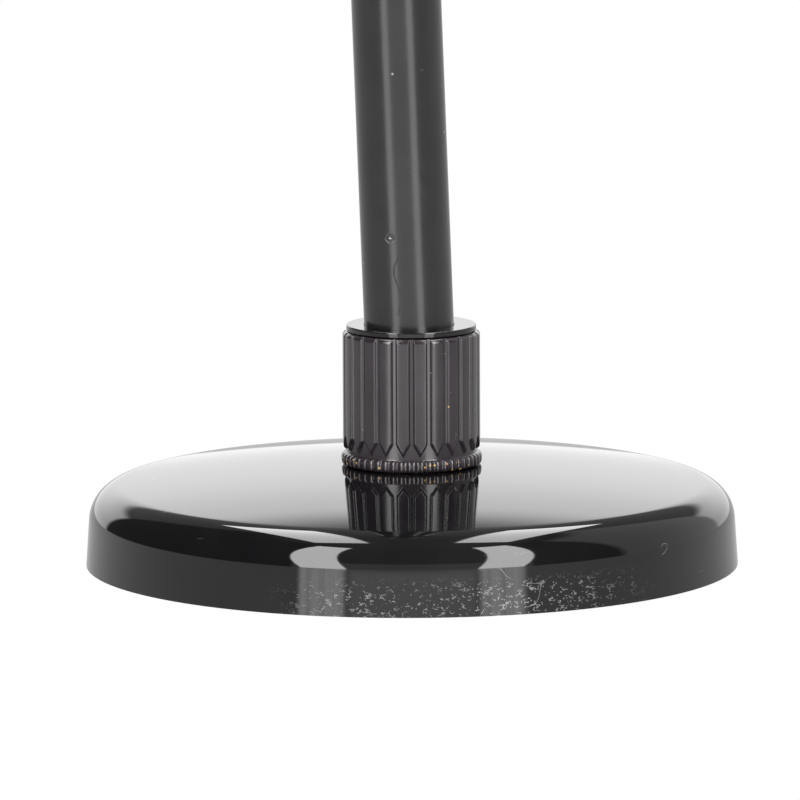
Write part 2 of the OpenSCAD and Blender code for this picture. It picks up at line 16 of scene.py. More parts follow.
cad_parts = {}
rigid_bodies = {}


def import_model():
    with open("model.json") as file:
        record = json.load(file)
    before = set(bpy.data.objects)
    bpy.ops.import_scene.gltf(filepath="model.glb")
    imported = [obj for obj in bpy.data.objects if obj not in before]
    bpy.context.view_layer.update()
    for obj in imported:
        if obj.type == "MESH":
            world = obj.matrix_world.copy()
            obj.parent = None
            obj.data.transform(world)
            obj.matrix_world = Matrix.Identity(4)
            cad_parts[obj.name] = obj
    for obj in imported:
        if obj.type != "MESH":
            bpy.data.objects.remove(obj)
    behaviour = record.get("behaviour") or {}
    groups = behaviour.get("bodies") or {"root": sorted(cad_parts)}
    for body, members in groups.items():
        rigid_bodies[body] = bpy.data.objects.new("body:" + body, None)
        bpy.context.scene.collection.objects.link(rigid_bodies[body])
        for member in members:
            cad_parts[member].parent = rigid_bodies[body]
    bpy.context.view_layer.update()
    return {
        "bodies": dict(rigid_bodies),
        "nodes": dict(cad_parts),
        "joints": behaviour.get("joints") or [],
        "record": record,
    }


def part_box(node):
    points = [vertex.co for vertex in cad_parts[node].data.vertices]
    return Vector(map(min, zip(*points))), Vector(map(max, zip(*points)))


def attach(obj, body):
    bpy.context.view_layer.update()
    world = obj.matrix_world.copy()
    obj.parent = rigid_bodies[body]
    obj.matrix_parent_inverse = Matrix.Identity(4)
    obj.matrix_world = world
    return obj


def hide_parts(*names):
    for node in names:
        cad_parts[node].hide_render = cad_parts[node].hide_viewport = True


MM = 0.001
LOG = logging.getLogger("music_stand")

Colour = tuple[float, float, float]
Corner = tuple[float, float]


class Slot(Enum):
    """The record's finishes, by the names it gives them."""

    BASE_LACQUER = "base_lacquer"
    PAD_RUBBER = "pad_rubber"
    ZINC_STEEL = "zinc_steel"
    BLACK_NICKEL = "black_nickel"
    BLACK_NYLON = "black_nylon"
    NATURAL_NYLON = "natural_nylon"
    RING_GLOSS = "ring_gloss"
    TUBE_GRAPHITE = "tube_graphite"
    GRIP_PLASTIC = "grip_plastic"
    TUBE_CHROME = "tube_chrome"
    HEAD_BLACK = "head_black"
    FIBRE = "fibre"
    DESK_POWDER = "desk_powder"
    KNOB_PLASTIC = "knob_plastic"
    INSERT_BRASS = "insert_brass"
    TRIM_RUBBER = "trim_rubber"
    ARM_NICKEL = "arm_nickel"
    TIP_RUBBER = "tip_rubber"


class Grain(Enum):
    """Direction in which a finish is drawn out, as stretch factors along X, Y and Z."""

    EVEN = (1.0, 1.0, 1.0)
    ROUND = (1.0, 1.0, 12.0)
    UPRIGHT = (9.0, 9.0, 0.6)


class Value:
    """One socket of a node tree, so that shader maths reads as arithmetic."""

    def __init__(self, recipe: Recipe, socket: bpy.types.NodeSocket) -> None:
        """Keeps the socket and the recipe that it belongs to."""
        self.recipe = recipe
        self.socket = socket

    def math(self, operation: str, first: Operand, second: Operand = 0.0) -> Value:
        """Adds one Math node.

        Args:
            operation: The node's operation.
            first: Its first number or value.
            second: Its second number or value.

        Returns:
            The node's result.
        """
        made = self.recipe.node("ShaderNodeMath", {"operation": operation}, {0: first, 1: second})
        return Value(self.recipe, made.outputs[0])

    def __add__(self, other: Operand) -> Value:
        """Sum of the two."""
        return self.math("ADD", self, other)

    def __radd__(self, other: Operand) -> Value:
        """Sum of the two."""
        return self.math("ADD", other, self)

    def __sub__(self, other: Operand) -> Value:
        """This less the other."""
        return self.math("SUBTRACT", self, other)

    def __rsub__(self, other: Operand) -> Value:
        """The other less this."""
        return self.math("SUBTRACT", other, self)

    def __mul__(self, other: Operand) -> Value:
        """Product of the two."""
        return self.math("MULTIPLY", self, other)

    def __rmul__(self, other: Operand) -> Value:
        """Product of the two."""
        return self.math("MULTIPLY", other, self)

    def __truediv__(self, other: Operand) -> Value:
        """This over the other."""
        return self.math("DIVIDE", self, other)

    def __rtruediv__(self, other: Operand) -> Value:
        """The other over this."""
        return self.math("DIVIDE", other, self)

    def __abs__(self) -> Value:
        """Size without its sign."""
        return self.math("ABSOLUTE", self)

    def __neg__(self) -> Value:
        """The same with the other sign."""
        return self.math("SUBTRACT", 0.0, self)

    def rise(self, low: float, high: float) -> Value:
        """Smooth step.

        Args:
            low: Where it leaves 0.
            high: Where it reaches 1.

        Returns:
            A value from 0 to 1.
        """
        made = self.recipe.node(
            "ShaderNodeMapRange", {"interpolation_type": "SMOOTHSTEP"}, {0: self, 1: low, 2: high}
        )
        return Value(self.recipe, made.outputs[0])

    def inside(self, low: Operand, high: Operand, soft: float) -> Value:
        """Mask that is 1 between two limits.

        Args:
            low: Lower limit.
            high: Upper limit.
            soft: Half the width of each edge.

        Returns:
            A value from 0 to 1.
        """
        return (self - low).rise(-soft, soft) * (1.0 - (self - high).rise(-soft, soft))

    def toward(self, goal: float, mask: Value) -> Value:
        """This where the mask is 0 and the goal where it is 1."""
        return self + (goal - self) * mask


Operand = Value | float


class Recipe:
    """Maker of nodes in one empty node tree."""

    def __init__(self, tree: bpy.types.NodeTree) -> None:
        """Clears the tree and keeps it."""
        self.tree = tree
        tree.nodes.clear()

    def node(
        self,
        kind: str,
        settings: Mapping[str, object] | None = None,
        sockets: Mapping[int | str, object] | None = None,
    ) -> bpy.types.Node:
        """Adds a node.

        Args:
            kind: Its type.
            settings: Its settings, which are set first.
            sockets: Numbers, colours or values for its sockets.

        Returns:
            The node.
        """
        made = self.tree.nodes.new(kind)
        for key, setting in (settings or {}).items():
            setattr(made, key, setting)
        for key, given in (sockets or {}).items():
            if isinstance(given, Value):
                self.tree.links.new(given.socket, made.inputs[key])
            else:
                made.inputs[key].default_value = given
        return made

    def out(self, node: bpy.types.Node, key: int | str = 0) -> Value:
        """One output of a node as a value."""
        return Value(self, node.outputs[key])

    def place(self, stretch: Colour = (1.0, 1.0, 1.0)) -> Value:
        """Place on the piece in metres, stretched by a factor along each axis."""
        here = self.out(self.node("ShaderNodeTexCoord"), "Object")
        if stretch == (1.0, 1.0, 1.0):
            return here
        return self.out(self.node("ShaderNodeVectorMath", {"operation": "MULTIPLY"}, {0: here, 1: stretch}))

    def axes(self, vector: Value) -> tuple[Value, Value, Value]:
        """The X, Y and Z of a vector."""
        split = self.node("ShaderNodeSeparateXYZ", None, {0: vector})
        return self.out(split, 0), self.out(split, 1), self.out(split, 2)

    def noise(self, place: Value, scale: float, detail: float = 3.0) -> Value:
        """Cloudy noise.

        Args:
            place: Where it is read.
            scale: Its features to the metre.
            detail: Its layers.

        Returns:
            A value about 0.5.
        """
        made = self.node("ShaderNodeTexNoise", None, {"Vector": place, "Scale": scale, "Detail": detail})
        return self.out(made, 0)

    def specks(self, place: Value, scale: float, size: float, share: float) -> Value:
        """Small scattered spots.

        Args:
            place: Where they are read.
            scale: Cells to the metre.
            size: Radius of a spot, as a share of its cell.
            share: Share of the cells that hold a spot.

        Returns:
            A mask.
        """
        cells = self.node("ShaderNodeTexVoronoi", None, {"Vector": place, "Scale": scale})
        pick = self.out(self.node("ShaderNodeSeparateColor", None, {0: self.out(cells, "Color")}), 0)
        near = 1.0 - self.out(cells, "Distance").rise(size * 0.5, size)
        return near * pick.rise(1.0 - share - 0.004, 1.0 - share + 0.004)

    def hairs(self, place: Value, scale: float, width: float, share: float) -> Value:
        """Short thin curved lines.

        Args:
            place: Where they are read.
            scale: Bends to the metre.
            width: Width of a line in the noise it follows.
            share: How much of the surface has them, from 0 to 1.

        Returns:
            A mask.
        """
        line = 1.0 - abs(self.noise(place, scale, 1.0) - 0.5).rise(width * 0.4, width)
        gate = self.noise(place, scale * 0.83, 2.0)
        return line * gate.rise(0.74 - 0.3 * share, 0.78 - 0.3 * share)

    def blend(self, first: Colour | Value, second: Colour | Value, mask: Operand) -> Value:
        """Colour between two, by a mask."""
        pair = [given if isinstance(given, Value) else (*given, 1.0) for given in (first, second)]
        made = self.node("ShaderNodeMix", {"data_type": "RGBA"}, {0: mask, 6: pair[0], 7: pair[1]})
        return self.out(made, 2)

    def bump(self, height: Value, depth: float, under: Value | None = None) -> Value:
        """Surface relief.

        Args:
            height: Relief from 0 to 1.
            depth: What 1 stands for, in metres.
            under: Relief that it lies on.

        Returns:
            A normal.
        """
        sockets: dict[int | str, object] = {"Strength": 1.0, "Distance": depth, "Height": height}
        if under is not None:
            sockets["Normal"] = under
        return self.out(self.node("ShaderNodeBump", None, sockets))


@dataclass(frozen=True)
class Finish:
    """A finish with its cloudiness, grain, dust and fine scratches."""

    colour: Colour
    second: Colour
    worn: Colour
    rough: float
    rough_spread: float = 0.08
    metal: float = 0.0
    ior: float = 1.5
    coat: float = 0.0
    grain: Grain = Grain.EVEN
    grain_scale: float = 1500.0
    grain_depth: float = 6e-6
    cloud_scale: float = 70.0
    speck_scale: float = 260.0
    speck_share: float = 0.1
    hair_scale: float = 240.0
    hair_share: float = 0.35

    def build(self, name: str) -> bpy.types.Material:
        """Makes the material.

        Args:
            name: What it is called.

        Returns:
            The material.
        """
        material = bpy.data.materials.new(name)
        material.use_nodes = True
        recipe = Recipe(material.node_tree)
        shader = recipe.node(
            "ShaderNodeBsdfPrincipled",
            None,
            {"Metallic": self.metal, "IOR": self.ior, "Coat Weight": self.coat, "Coat Roughness": 0.08},
        )
        colour, rough, normal = self.surface(recipe)
        for socket, value in (("Base Color", colour), ("Roughness", rough), ("Normal", normal)):
            recipe.tree.links.new(value.socket, shader.inputs[socket])
        recipe.node("ShaderNodeOutputMaterial", None, {"Surface": recipe.out(shader)})
        return material

    def surface(self, recipe: Recipe) -> tuple[Value, Value, Value]:
        """Colour, roughness and normal over the surface."""
        here = recipe.place()
        cloud = recipe.noise(here, self.cloud_scale)
        fine = recipe.noise(recipe.place(self.grain.value), self.grain_scale)
        dust = recipe.specks(here, self.speck_scale, 0.09, self.speck_share)
        hair = recipe.hairs(here, self.hair_scale, 0.006, self.hair_share)
        marks = (dust + hair * 0.7).math("MINIMUM", dust + hair * 0.7, 1.0)
        colour = recipe.blend(self.colour, self.second, cloud.rise(0.35, 0.7) * 0.7 + fine * 0.3)
        colour = recipe.blend(colour, self.worn, marks)
        rough = self.rough + (cloud - 0.5) * self.rough_spread + (fine - 0.5) * self.rough_spread + marks * 0.15
        relief = recipe.bump(fine - hair * 0.8 + dust * 0.5, self.grain_depth)
        return colour, rough, relief


@dataclass(frozen=True)
class Lacquer(Finish):
    """Polished black lacquer with dust, hairline scratches and rubbed flecks low on the wall, whose pale colour is
    part real scuffing and part painted highlight.
    """

    glint_fleck_low: float = 0.0
    glint_fleck_high: float = 8.5 * MM
    glint_fleck_left: float = -24 * MM
    glint_fleck_right: float = 48 * MM

    def surface(self, recipe: Recipe) -> tuple[Value, Value, Value]:
        """Colour, roughness and normal over the surface."""
        here = recipe.place()
        across, _, up = recipe.axes(here)
        cloud = recipe.noise(here, self.cloud_scale)
        dust = recipe.specks(here, self.speck_scale, 0.07, self.speck_share)
        # Band low on the wall, between two X limits, where the flecks go; their lighter colour is partly real scuffs
        # and dust, partly a painted highlight standing in for glints.
        low = up.inside(self.glint_fleck_low, self.glint_fleck_high, 2.5 * MM)
        low = low * across.inside(self.glint_fleck_left, self.glint_fleck_right, 14 * MM)
        flecks_and_glint = recipe.hairs(recipe.place((1.0, 1.0, 1.6)), 620.0, 0.05, 0.7) * low * 0.45
        rub_and_glint = recipe.specks(here, 1150.0, 0.36, 0.42) * low * cloud.rise(0.3, 0.65) * 0.55
        hair = recipe.hairs(here, self.hair_scale, 0.005, self.hair_share)
        # The marks add the flecks, which are partly painted highlight, to the real dust and scratches.
        marks = dust + flecks_and_glint * 0.8 + rub_and_glint * 0.5 + hair * 0.25
        marks = marks.math("MINIMUM", marks, 1.0)
        colour = recipe.blend(self.colour, self.second, cloud.rise(0.4, 0.7))
        # Blending toward the pale colour here paints the flecks' glints as well as their real wear.
        colour = recipe.blend(colour, self.worn, marks)
        rough = self.rough + (cloud - 0.42) * self.rough_spread + (flecks_and_glint + rub_and_glint) * 0.2
        peel = recipe.noise(here, self.grain_scale, 1.0)
        normal = recipe.bump(peel, self.grain_depth)
        return colour, rough, recipe.bump(1.0 - (hair * 0.3 + flecks_and_glint + rub_and_glint * 0.6), 1.2e-5, normal)


@dataclass(frozen=True)
class Plated(Finish):
    """Dark plating that has chipped to brass along its edges."""

    brass: Colour = (0.55, 0.33, 0.1)

    def surface(self, recipe: Recipe) -> tuple[Value, Value, Value]:
        """Colour, roughness and normal over the surface."""
        colour, rough, normal = super().surface(recipe)
        here = recipe.place()
        _, _, up = recipe.axes(here)
        foot = 1.0 - up.rise(27.4 * MM, 28.2 * MM)
        chips = recipe.specks(here, 900.0, 0.34, 0.35) * foot + recipe.specks(here, 330.0, 0.16, 0.05)
        chips = chips.math("MINIMUM", chips, 1.0)
        return recipe.blend(colour, self.brass, chips), rough + chips * 0.1, normal


@dataclass(frozen=True)
class TubeCoat(Finish):
    """Satin tube coat with one chip and a thin wandering run below it."""

    chip: Colour = (-4.9 * MM, -9.8 * MM, 82.6 * MM)
    run_low: float = 63.7 * MM
    run_high: float = 80.3 * MM

    def surface(self, recipe: Recipe) -> tuple[Value, Value, Value]:
        """Colour, roughness and normal over the surface."""
        colour, rough, normal = super().surface(recipe)
        here = recipe.place()
        across, depth, up = recipe.axes(here)
        gap = recipe.node("ShaderNodeVectorMath", {"operation": "DISTANCE"}, {0: here, 1: self.chip})
        away = recipe.out(gap, "Value") + (recipe.noise(here, 900.0) - 0.5) * 0.7 * MM
        ring = away.inside(0.5 * MM, 1.3 * MM, 0.2 * MM)
        core = 1.0 - away.rise(0.45 * MM, 0.7 * MM)
        swing = ((up - 64 * MM) * 460.0).math("SINE", (up - 64 * MM) * 460.0) * 0.85 * MM
        line = abs(across + 3.3 * MM - swing - (recipe.noise(here, 500.0) - 0.5) * 0.8 * MM)
        run = (1.0 - line.rise(0.07 * MM, 0.2 * MM)) * up.inside(self.run_low, self.run_high, 0.6 * MM)
        run = run * (1.0 - depth.rise(-3 * MM, -1 * MM))
        colour = recipe.blend(colour, (0.004, 0.004, 0.004), ring + run * 0.9)
        colour = recipe.blend(colour, (0.7, 0.69, 0.66), core)
        return colour, rough + (ring + run) * 0.15, recipe.bump(1.0 - ring - run * 0.7, 5e-5, normal)


RUBBER = Finish(
    (0.012, 0.012, 0.012), (0.022, 0.022, 0.021), (0.09, 0.088, 0.085), 0.72, grain_scale=1800.0, grain_depth=3e-5
)
STEEL = Finish(
    (0.55, 0.55, 0.56), (0.44, 0.45, 0.47), (0.3, 0.27, 0.23), 0.3, 0.16, metal=1.0, grain_scale=900.0
)
FINISHES: dict[Slot, Finish] = {
    Slot.BASE_LACQUER: Lacquer(
        (0.0035, 0.0035, 0.004), (0.006, 0.0058, 0.006), (0.36, 0.35, 0.34), 0.035, 0.03,
        grain_scale=55.0, grain_depth=2e-6, cloud_scale=35.0, speck_scale=190.0, speck_share=0.1, hair_scale=90.0,
    ),
    Slot.PAD_RUBBER: RUBBER,
    Slot.TIP_RUBBER: RUBBER,
    Slot.TRIM_RUBBER: Finish(
        (0.016, 0.016, 0.017), (0.028, 0.028, 0.027), (0.1, 0.1, 0.096), 0.66, grain_scale=1200.0, grain_depth=4e-5
    ),
    Slot.ZINC_STEEL: STEEL,
    Slot.ARM_NICKEL: Finish(
        (0.62, 0.6, 0.56), (0.52, 0.5, 0.47), (0.34, 0.31, 0.27), 0.2, 0.12, metal=1.0, grain=Grain.UPRIGHT
    ),
    Slot.BLACK_NICKEL: Plated(
        (0.014, 0.0105, 0.0135), (0.024, 0.018, 0.022), (0.3, 0.25, 0.22), 0.17, 0.1, ior=1.6,
        grain=Grain.UPRIGHT, grain_scale=600.0, speck_scale=420.0, speck_share=0.06, hair_share=0.2,
    ),
    Slot.BLACK_NYLON: Finish((0.015, 0.015, 0.016), (0.024, 0.024, 0.025), (0.08, 0.08, 0.08), 0.45),
    Slot.NATURAL_NYLON: Finish((0.62, 0.58, 0.48), (0.55, 0.5, 0.4), (0.4, 0.36, 0.3), 0.42),
    Slot.RING_GLOSS: Finish(
        (0.004, 0.004, 0.004), (0.007, 0.007, 0.007), (0.2, 0.19, 0.18), 0.07, 0.05,
        grain_scale=420.0, grain_depth=8e-6, speck_scale=600.0, speck_share=0.16, hair_share=0.25,
    ),
    Slot.TUBE_GRAPHITE: TubeCoat(
        (0.011, 0.011, 0.012), (0.016, 0.016, 0.017), (0.22, 0.22, 0.22), 0.2, 0.07,
        grain=Grain.UPRIGHT, grain_scale=420.0, grain_depth=3e-6, speck_scale=240.0, speck_share=0.12,
        hair_share=0.12,
    ),
    Slot.GRIP_PLASTIC: Finish(
        (0.014, 0.014, 0.015), (0.02, 0.02, 0.021), (0.09, 0.09, 0.09), 0.42, grain_scale=2600.0, grain_depth=1.5e-5
    ),
    Slot.KNOB_PLASTIC: Finish(
        (0.013, 0.013, 0.014), (0.019, 0.019, 0.02), (0.09, 0.09, 0.088), 0.36, grain_scale=2600.0, grain_depth=1.2e-5
    ),
    Slot.TUBE_CHROME: Finish(
        (0.6, 0.6, 0.61), (0.52, 0.53, 0.55), (0.35, 0.34, 0.33), 0.1, 0.08, metal=1.0,
        grain=Grain.ROUND, grain_scale=500.0, grain_depth=2e-6,
    ),
    Slot.HEAD_BLACK: Finish(
        (0.013, 0.013, 0.014), (0.021, 0.021, 0.022), (0.12, 0.12, 0.12), 0.33, 0.1,
        grain_scale=1400.0, grain_depth=1.2e-5,
    ),
    Slot.FIBRE: Finish((0.2, 0.07, 0.04), (0.14, 0.05, 0.03), (0.32, 0.2, 0.14), 0.75, grain_depth=3e-5),
    Slot.DESK_POWDER: Finish(
        (0.014, 0.014, 0.015), (0.02, 0.02, 0.021), (0.13, 0.13, 0.13), 0.46, 0.1,
        grain_scale=1100.0, grain_depth=4e-5, speck_scale=150.0, speck_share=0.06,
    ),
    Slot.INSERT_BRASS: Finish(
        (0.62, 0.42, 0.15), (0.5, 0.33, 0.12), (0.25, 0.17, 0.08), 0.26, 0.14, metal=1.0, grain=Grain.ROUND
    ),
}


class PaintShop:
    """Makes each finish once and puts it on pieces."""

    def __init__(self) -> None:
        """Starts with no finish made."""
        self.made: dict[Slot, bpy.types.Material] = {}

    def coat(self, piece: bpy.types.Object, slot: Slot) -> None:
        """Puts a finish on a piece.

        Args:
            piece: The piece.
            slot: The record's name for the finish.
        """
        if slot not in self.made:
            self.made[slot] = FINISHES[slot].build(slot.value)
        if not piece.material_slots:
            piece.data.materials.append(self.made[slot])
        for held in piece.material_slots:
            held.material = self.made[slot]


class EasedEdges:
    """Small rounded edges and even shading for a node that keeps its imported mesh."""

    def __init__(self, sharp: float = math.radians(32)) -> None:
        """Makes the shading group.

        Args:
            sharp: Fold angle above which an edge stays crisp.
        """
        self.group = bpy.data.node_groups.new("eased_edges", "GeometryNodeTree")
        for way in ("INPUT", "OUTPUT"):
            self.group.interface.new_socket("Geometry", in_out=way, socket_type="NodeSocketGeometry")
        recipe = Recipe(self.group)
        shape = recipe.out(recipe.node("NodeGroupInput"))
        bare = recipe.node("GeometryNodeRemoveAttribute", None, {"Geometry": shape, "Name": "custom_normal"})
        fold = recipe.out(recipe.node("GeometryNodeInputMeshEdgeAngle"))
        crisp = recipe.node(
            "FunctionNodeCompare", {"data_type": "FLOAT", "operation": "GREATER_THAN"}, {0: fold, 1: sharp}
        )
        faces = recipe.node("GeometryNodeSetShadeSmooth", {"domain": "FACE"}, {"Geometry": recipe.out(bare)})
        edges = recipe.node(
            "GeometryNodeSetShadeSmooth",
            {"domain": "EDGE"},
            {"Geometry": recipe.out(faces), "Selection": recipe.out(crisp), "Shade Smooth": False},
        )
        recipe.node("NodeGroupOutput", None, {0: recipe.out(edges)})

    def apply(self, piece: bpy.types.Object, width: float) -> None:
        """Adds the modifiers to a piece.

        Args:
            piece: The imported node's object.
            width: Width of the rounded edge, in metres.
        """
        weld = piece.modifiers.new("weld", "WELD")
        weld.merge_threshold = 1e-6
        bevel = piece.modifiers.new("edge", "BEVEL")
        bevel.width = width
        bevel.segments = 2
        bevel.limit_method = "ANGLE"
        bevel.angle_limit = math.radians(32)
        shading = piece.modifiers.new("shading", "NODES")
        shading.node_group = self.group
        flats = piece.modifiers.new("flats", "WEIGHTED_NORMAL")
        flats.keep_sharp = True
        flats.weight = 100


@dataclass
class Workshop:
    """What every sub-assembly needs: the frame, the finishes and the edge tool."""

    frame: dict
    paint: PaintShop
    edges: EasedEdges

    def skin(self, name: str, rings: np.ndarray, sharp: float = 40.0) -> bpy.types.Object:
        """Closed skin through a loop of rings.

        Args:
            name: The piece's name.
            rings: Points in metres, as rings by points by 3.
            sharp: Fold in degrees above which an edge is crisp.

        Returns:
            The new piece.
        """
        count, around = rings.shape[:2]
        ring = np.arange(count)[:, None] * around
        step = np.arange(around)[None, :]
        onward = (np.arange(count)[:, None] + 1) % count * around
        turned = (step + 1) % around
        faces = np.stack([ring + step, ring + turned, onward + turned, onward + step], axis=-1).reshape(-1, 4)
        mesh = bpy.data.meshes.new(name)
        mesh.from_pydata(rings.reshape(-1, 3).tolist(), [], faces.tolist())
        mesh.validate()
        mesh.shade_smooth()
        mesh.set_sharp_from_angle(angle=math.radians(sharp))
        piece = bpy.data.objects.new(name, mesh)
        bpy.context.scene.collection.objects.link(piece)
        return piece

    def finish_piece(self, piece: bpy.types.Object, body: str, node: str, slot: Slot) -> None:
        """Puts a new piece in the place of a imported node.

        Args:
            piece: The new piece.
            body: The body that it rides on.
            node: The node that it stands for.
            slot: Its finish.
        """
        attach(piece, body)
        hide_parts(node)
        self.paint.coat(piece, slot)
        LOG.info("%s: %d faces, stands for %s", piece.name, len(piece.data.polygons), node)

    def dress(self, nodes: Mapping[str, Slot], edge: float) -> list[bpy.types.Object]:
        """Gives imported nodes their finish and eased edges.

        Args:
            nodes: Each node and its finish.
            edge: Width of the rounded edges, in metres.

        Returns:
            The nodes' objects.
        """
        dressed = []
        for name, slot in nodes.items():
            piece = self.frame["nodes"][name]
            self.paint.coat(piece, slot)
            self.edges.apply(piece, edge)
            dressed.append(piece)
            LOG.info("%s: packed shape in %s", name, slot.value)
        return dressed


def lathe(profile: Sequence[Corner], around: int) -> np.ndarray:
    """Rings of a turned shape about Z.

    Args:
        profile: Radius and height of each ring.
        around: Points in a ring.

    Returns:
        Points as rings by points by 3.
    """
    turn = np.linspace(0, 2 * math.pi, around, endpoint=False)
    radius = np.array([corner[0] for corner in profile])[:, None]
    height = np.array([corner[1] for corner in profile])[:, None]
    return np.stack([radius * np.cos(turn), radius * np.sin(turn), height + 0 * turn], axis=-1)


def curve(centre: Corner, radius: float, start: float, end: float, steps: int) -> list[Corner]:
    """Corners along an arc, with its angles in degrees."""
    angles = np.radians(np.linspace(start, end, steps + 1))
    return [(centre[0] + radius * math.cos(a), centre[1] + radius * math.sin(a)) for a in angles]


def span(start: Corner, end: Corner, steps: int) -> list[Corner]:
    """Corners along a straight line, without its ends."""
    shares = [i / steps for i in range(1, steps)]
    return [(start[0] + (end[0] - start[0]) * s, start[1] + (end[1] - start[1]) * s) for s in shares]


@dataclass
class Foot:
    """Crowned round base with its pad, socket and fixings."""

    shop: Workshop
    crown: float = 513 * MM
    shoulder: float = 9 * MM
    draft: float = 3.8
    around: int = 320

    def section(self) -> list[Corner]:
        """Half section of the base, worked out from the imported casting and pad.

        Returns:
            The corners, anticlockwise from the foot of the wall.
        """
        mesh = self.shop.frame["nodes"]["base_casting"].data
        spots = np.array([vertex.co[:] for vertex in mesh.vertices])
        reach, height = np.hypot(spots[:, 0], spots[:, 1]), spots[:, 2]
        widest = reach.max()
        foot_z = height[reach > widest - 0.05 * MM].min()
        on_crown = (reach > 0.3 * widest) & (reach < 0.75 * widest) & (height > 0.8 * height.max())
        centre_z = float(np.median((height - np.sqrt(self.crown**2 - reach**2))[on_crown]))
        lean = math.radians(self.draft)
        normal = Vector((math.cos(lean), math.sin(lean)))
        along = Vector((-math.sin(lean), math.cos(lean)))
        start = Vector((widest, foot_z)) - normal * self.shoulder
        gap = start - Vector((0, centre_z))
        half = gap.dot(along)
        rise = -half + math.sqrt(half * half - gap.length_squared + (self.crown - self.shoulder) ** 2)
        pivot = start + along * rise
        upper = math.degrees(math.atan2(pivot.y - centre_z, pivot.x))
        wall_top = pivot + normal * self.shoulder
        top_z = float(height[reach < 0.25 * widest].max())
        seat = math.sqrt(self.crown**2 - (top_z - centre_z) ** 2)
        pad_low, pad_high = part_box("base_pad")
        pocket, ceiling = pad_high[0] + 0.1 * MM, pad_high[2] + 0.02 * MM
        bore = max(float(reach[height > top_z - 0.3 * MM].min()), 1 * MM)
        crown_angle = math.degrees(math.asin((top_z - centre_z) / self.crown))
        corners = [(widest, foot_z)]
        corners += span((widest, foot_z), (wall_top.x, wall_top.y), 5)
        corners += curve((pivot.x, pivot.y), self.shoulder, self.draft, upper, 30)
        corners += curve((0.0, centre_z), self.crown, upper, crown_angle, 40)[1:]
        corners += span((seat, top_z), (bore, top_z), 3)
        corners += [(bore, top_z), (bore, ceiling), (pocket, ceiling), (pocket, foot_z)]
        return corners

    def build(self) -> None:
        """Builds the casting and dresses what is fixed to it."""
        piece = self.shop.skin("turned_base", lathe(self.section(), self.around), 50.0)
        self.shop.finish_piece(piece, "base", "base_casting", Slot.BASE_LACQUER)
        steel = ("base_bolt", "base_washer", "base_spring_washer", "post_socket", "socket_dowel")
        nodes = {name: Slot.ZINC_STEEL for name in steel}
        nodes["base_pad"] = Slot.PAD_RUBBER
        nodes["clamp_collet"] = Slot.BLACK_NYLON
        self.shop.dress(nodes, 0.1 * MM)


@dataclass
class Collar:
    """Fluted clamp collar with rounded lands, pointed feet and a beaded rim."""

    shop: Workshop
    low: float = 25.46 * MM
    high: float = 58.46 * MM
    radius: float = 16.85 * MM
    rim: float = 17.22 * MM
    bore: float = 14.05 * MM
    lands: int = 24
    groove: float = 0.85 * MM
    depth: float = 0.8 * MM
    edge: float = 0.55 * MM
    shoulder: float = 1.2 * MM
    point_low: float = 28.5 * MM
    point_high: float = 32.6 * MM
    beads: int = 48
    per_land: int = 32

    def outer(self, turn: np.ndarray, z: float) -> np.ndarray:
        """Radius of the outer surface round one height."""
        pitch = 2 * math.pi / self.lands
        off = np.abs((turn + pitch / 2) % pitch - pitch / 2) * self.radius
        half = self.groove / 2
        if z < self.point_high:
            share = min(1.0, (self.point_high - z) / (self.point_high - self.point_low))
            half += share * (pitch * self.radius / 2 + self.edge - half)
        across = np.clip((off - half) / self.edge, 0, 1)
        sunk = self.depth * (1 - np.sqrt(1 - (1 - across) ** 2))
        reach = self.radius - sunk
        left = self.high - z
        if left < self.shoulder:
            cap = self.radius - self.shoulder + math.sqrt(self.shoulder**2 - (self.shoulder - left) ** 2)
            reach = np.minimum(reach, cap)
        return reach

    def beaded(self, turn: np.ndarray, share: float) -> np.ndarray:
        """Radius round the rim, at a share of its height from -1 to 1."""
        neck = self.radius - self.depth
        swell = np.abs(np.cos(turn * self.beads / 2)) ** 0.6
        return neck + (self.rim - neck) * math.sqrt(max(0.0, 1 - share**4)) * (0.62 + 0.38 * swell)

    def build(self) -> None:
        """Builds the collar from the rim upwards."""
        around = self.lands * self.per_land
        turn = np.linspace(0, 2 * math.pi, around, endpoint=False)
        rows: list[tuple[np.ndarray, float]] = []
        middle = (self.low + self.point_low) / 2
        half = (self.point_low - self.low) / 2
        for share in np.linspace(-1, 1, 15):
            rows.append((self.beaded(turn, float(share)), middle + half * float(share)))
        heights = [*np.linspace(self.point_low, self.point_high + 0.4 * MM, 22)[1:]]
        heights += [*np.linspace(self.point_high, self.high - self.shoulder, 9)[2:]]
        lift = [self.high - self.shoulder * (1 - math.sin(a)) for a in np.radians(np.linspace(6, 88, 15))]
        for z in heights + lift:
            rows.append((self.outer(turn, float(z)), float(z)))
        level = np.ones(around)
        for radius, z in (
            (self.bore + 0.4 * MM, self.high),
            (self.bore, self.high - 0.4 * MM),
            (self.bore, self.low),
        ):
            rows.append((level * radius, z))
        rings = np.stack(
            [np.stack([r * np.cos(turn), r * np.sin(turn), np.full(around, z)], axis=-1) for r, z in rows]
        )
        piece = self.shop.skin("clamp_collar", rings, 75.0)
        self.shop.finish_piece(piece, "collar", "fluted_collar", Slot.BLACK_NICKEL)


